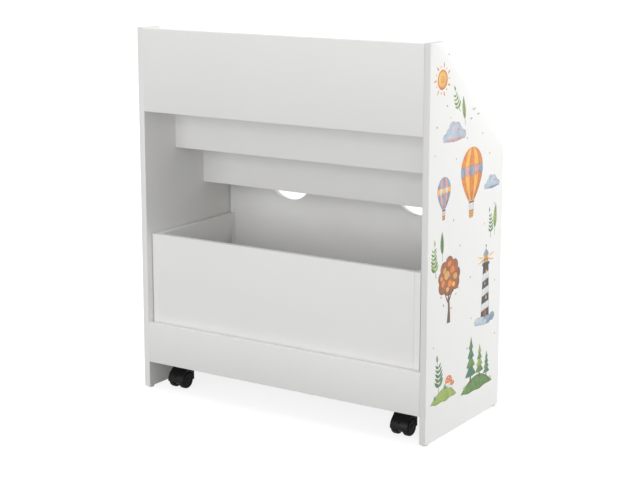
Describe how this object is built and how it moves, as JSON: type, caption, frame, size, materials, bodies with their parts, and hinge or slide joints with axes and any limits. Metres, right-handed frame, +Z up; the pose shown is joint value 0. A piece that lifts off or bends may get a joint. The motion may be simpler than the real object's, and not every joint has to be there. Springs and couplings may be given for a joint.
{
  "type": "kids bookcase",
  "caption": "Open-backed children's bookcase with stepped tiers for front-facing books and a toy crate on swivel castors that rolls out from under them.",
  "frame": {"origin": "on the floor, under the middle of the bookcase's overall box", "axes": "+Z up, +X across the width, +Y towards the open back; the books face -Y and the crate rolls out towards -Y"},
  "size_m": [0.758, 0.34, 0.85],
  "materials": {
    "white_board": "satin white melamine on particle board, edges banded",
    "glide_plastic": "smooth white plastic",
    "nail_steel": "bright drawn steel",
    "dowel_wood": "raw fluted beech",
    "fitting_steel": "zinc-plated steel",
    "fitting_zinc": "grey die-cast zinc",
    "plate_steel": "zinc-plated stamped steel",
    "axle_steel": "bright steel",
    "castor_plastic": "black moulded plastic, slight sheen",
    "wheel_plastic": "black moulded nylon, satin",
    "printed_film": "thin matt printed film, soft colours"
  },
  "bodies": {
    "bookcase": {"left_side_panel": "white_board", "right_side_panel": "white_board", "top_back_panel": "white_board", "middle_back_panel": "white_board", "lower_back_panel": "white_board", "front_lip": "white_board", "top_tier_floor": "white_board", "middle_tier_floor": "white_board", "lower_tier_floor": "white_board", "rear_kick_board": "white_board", "floor_glides": "glide_plastic", "glide_nails": "nail_steel", "frame_dowels": "dowel_wood", "frame_cam_bolts": "fitting_steel", "frame_cam_locks": "fitting_zinc"},
    "crate": {"crate_front_panel": "white_board", "crate_back_panel": "white_board", "crate_left_side": "white_board", "crate_right_side": "white_board", "crate_bottom": "white_board", "crate_dowels": "dowel_wood", "crate_cam_bolts": "fitting_steel", "crate_cam_locks": "fitting_zinc", "castor_plates": "plate_steel", "castor_screws": "fitting_steel"},
    "rear_left_castor": {"rear_left_housing": "castor_plastic", "rear_left_axle": "axle_steel"},
    "rear_left_wheel_outer": {"rear_left_outer_wheel": "wheel_plastic"},
    "rear_left_wheel_inner": {"rear_left_inner_wheel": "wheel_plastic"},
    "rear_right_castor": {"rear_right_housing": "castor_plastic", "rear_right_axle": "axle_steel"},
    "rear_right_wheel_outer": {"rear_right_outer_wheel": "wheel_plastic"},
    "rear_right_wheel_inner": {"rear_right_inner_wheel": "wheel_plastic"},
    "front_left_castor": {"front_left_housing": "castor_plastic", "front_left_axle": "axle_steel"},
    "front_left_wheel_outer": {"front_left_outer_wheel": "wheel_plastic"},
    "front_left_wheel_inner": {"front_left_inner_wheel": "wheel_plastic"},
    "front_right_castor": {"front_right_housing": "castor_plastic", "front_right_axle": "axle_steel"},
    "front_right_wheel_outer": {"front_right_outer_wheel": "wheel_plastic"},
    "front_right_wheel_inner": {"front_right_inner_wheel": "wheel_plastic"}
  },
  "joints": [
    {"name": "crate_roll_out", "type": "slide", "parent": "bookcase", "child": "crate", "axis": [0, -1, 0], "range_m": [0, 0.36]},
    {"name": "rear_left_castor_swivel", "type": "hinge", "parent": "crate", "child": "rear_left_castor", "pos_m": [-0.299, 0.1095, 0.05], "axis": [0, 0, 1], "continuous": true},
    {"name": "rear_left_outer_wheel_roll", "type": "hinge", "parent": "rear_left_castor", "child": "rear_left_wheel_outer", "pos_m": [-0.3134, 0.1225, 0.02], "axis": [1, 0, 0], "continuous": true},
    {"name": "rear_left_inner_wheel_roll", "type": "hinge", "parent": "rear_left_castor", "child": "rear_left_wheel_inner", "pos_m": [-0.2846, 0.1225, 0.02], "axis": [1, 0, 0], "continuous": true},
    {"name": "rear_right_castor_swivel", "type": "hinge", "parent": "crate", "child": "rear_right_castor", "pos_m": [0.308, 0.1095, 0.05], "axis": [0, 0, 1], "continuous": true},
    {"name": "rear_right_outer_wheel_roll", "type": "hinge", "parent": "rear_right_castor", "child": "rear_right_wheel_outer", "pos_m": [0.3224, 0.1225, 0.02], "axis": [1, 0, 0], "continuous": true},
    {"name": "rear_right_inner_wheel_roll", "type": "hinge", "parent": "rear_right_castor", "child": "rear_right_wheel_inner", "pos_m": [0.2936, 0.1225, 0.02], "axis": [1, 0, 0], "continuous": true},
    {"name": "front_left_castor_swivel", "type": "hinge", "parent": "crate", "child": "front_left_castor", "pos_m": [-0.299, -0.112, 0.05], "axis": [0, 0, 1], "continuous": true},
    {"name": "front_left_outer_wheel_roll", "type": "hinge", "parent": "front_left_castor", "child": "front_left_wheel_outer", "pos_m": [-0.3134, -0.099, 0.02], "axis": [1, 0, 0], "continuous": true},
    {"name": "front_left_inner_wheel_roll", "type": "hinge", "parent": "front_left_castor", "child": "front_left_wheel_inner", "pos_m": [-0.2846, -0.099, 0.02], "axis": [1, 0, 0], "continuous": true},
    {"name": "front_right_castor_swivel", "type": "hinge", "parent": "crate", "child": "front_right_castor", "pos_m": [0.308, -0.112, 0.05], "axis": [0, 0, 1], "continuous": true},
    {"name": "front_right_outer_wheel_roll", "type": "hinge", "parent": "front_right_castor", "child": "front_right_wheel_outer", "pos_m": [0.3224, -0.099, 0.02], "axis": [1, 0, 0], "continuous": true},
    {"name": "front_right_inner_wheel_roll", "type": "hinge", "parent": "front_right_castor", "child": "front_right_wheel_inner", "pos_m": [0.2936, -0.099, 0.02], "axis": [1, 0, 0], "continuous": true}
  ]
}
